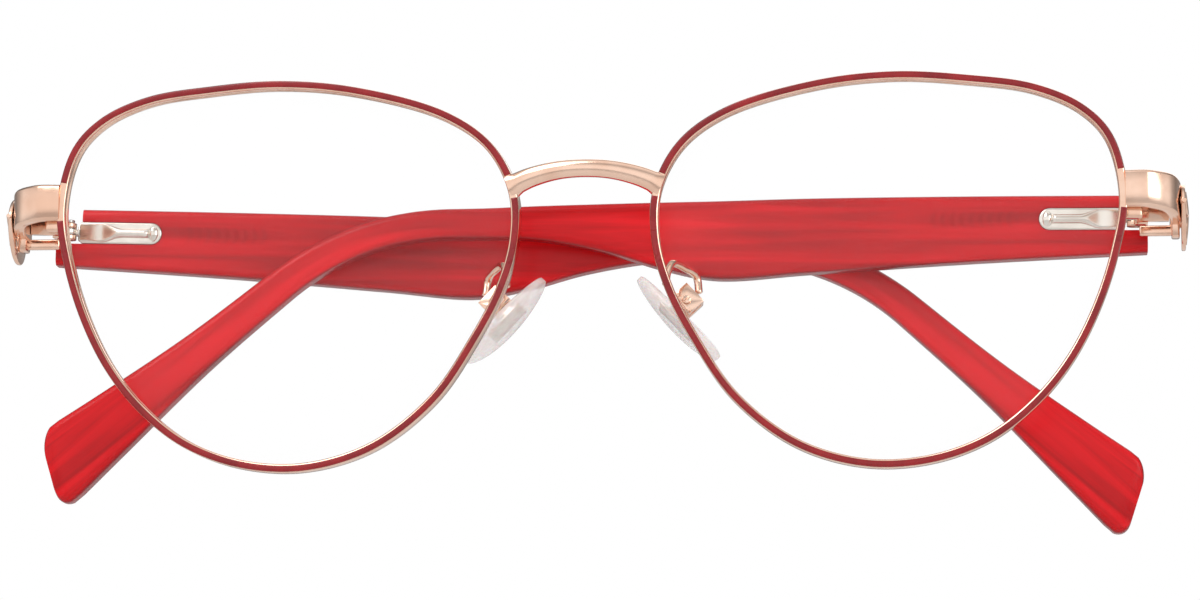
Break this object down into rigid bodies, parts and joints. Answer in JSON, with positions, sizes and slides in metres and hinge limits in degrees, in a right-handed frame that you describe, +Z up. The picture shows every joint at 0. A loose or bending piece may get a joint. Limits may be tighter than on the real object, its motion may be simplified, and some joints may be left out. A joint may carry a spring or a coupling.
{
  "type": "eyeglasses",
  "caption": "Folded eyeglasses: enamelled metal rims with clear lenses, arched bridge, openwork leaf end pieces, spring hinges, red acetate temples and adjustable nose pads.",
  "frame": {"origin": "midpoint between the two nose pads, where the frame sits on the nose, on the symmetry plane of the front", "axes": "+X towards the wearer's left, across the front; +Y back along the open temples; +Z up as worn"},
  "size_m": [0.1378, 0.0222, 0.0517],
  "materials": {
    "enamelled_rim": "dark red enamel on the front of a rose gold wire",
    "rose_gold": "polished rose gold plating",
    "nickel_silver": "polished nickel silver",
    "steel": "turned stainless steel",
    "red_acetate": "polished translucent red acetate with darker streaks",
    "clear_lens": "clear coated lens",
    "clear_silicone": "clear soft silicone"
  },
  "bodies": {
    "front": {"bridge": "rose_gold", "left_rim": "enamelled_rim", "left_rim_screw": "steel", "left_lens": "clear_lens", "left_end_piece": "rose_gold", "left_side_ornament": "rose_gold", "left_hinge_leaf": "rose_gold", "left_hinge_screw": "steel", "left_pad_arm": "rose_gold", "left_pad_box": "rose_gold", "left_pad_screw": "rose_gold", "right_rim": "enamelled_rim", "right_rim_screw": "steel", "right_lens": "clear_lens", "right_end_piece": "rose_gold", "right_side_ornament": "rose_gold", "right_hinge_leaf": "rose_gold", "right_hinge_screw": "steel", "right_pad_arm": "rose_gold", "right_pad_box": "rose_gold", "right_pad_screw": "rose_gold"},
    "left_slider": {"left_spring_slider": "nickel_silver", "left_spring_nut": "steel"},
    "left_temple_arm": {"left_temple": "red_acetate", "left_hinge_housing": "nickel_silver", "left_spring_stop": "steel", "left_hinge_spring": "steel", "left_core_wire": "nickel_silver"},
    "left_pad": {"left_nose_pad": "clear_silicone", "left_pad_insert": "nickel_silver"},
    "right_slider": {"right_spring_slider": "nickel_silver", "right_spring_nut": "steel"},
    "right_temple_arm": {"right_temple": "red_acetate", "right_hinge_housing": "nickel_silver", "right_spring_stop": "steel", "right_hinge_spring": "steel", "right_core_wire": "nickel_silver"},
    "right_pad": {"right_nose_pad": "clear_silicone", "right_pad_insert": "nickel_silver"}
  },
  "joints": [
    {"name": "left_temple_hinge", "type": "hinge", "parent": "front", "child": "left_slider", "pos_m": [0.0628, 0.00489, 0.0122], "axis": [-0.0009, 0, -1], "range_deg": [0, 92.5]},
    {"name": "left_spring_travel", "type": "slide", "parent": "left_slider", "child": "left_temple_arm", "axis": [-0.999, -0.0436, 0.0009], "range_m": [0, 0.001], "stiffness_N_per_m": 1000, "springref_m": -0.003, "deforming": ["left_hinge_spring"]},
    {"name": "right_temple_hinge", "type": "hinge", "parent": "front", "child": "right_slider", "pos_m": [-0.0628, 0.00489, 0.0122], "axis": [0.027, 0, 0.9996], "range_deg": [0, 88]},
    {"name": "right_spring_travel", "type": "slide", "parent": "right_slider", "child": "right_temple_arm", "axis": [0.999, 0.0349, -0.027], "range_m": [0, 0.001], "stiffness_N_per_m": 1000, "springref_m": -0.003, "deforming": ["right_hinge_spring"]},
    {"name": "left_pad_rock", "type": "hinge", "parent": "front", "child": "left_pad", "pos_m": [0.01098, 0.0006, 0.00235], "axis": [-0.1249, 0.9848, -0.1206], "range_deg": [-8, 8]},
    {"name": "right_pad_rock", "type": "hinge", "parent": "front", "child": "right_pad", "pos_m": [-0.01098, 0.0006, 0.00235], "axis": [0.1249, 0.9848, -0.1206], "range_deg": [-8, 8]}
  ]
}
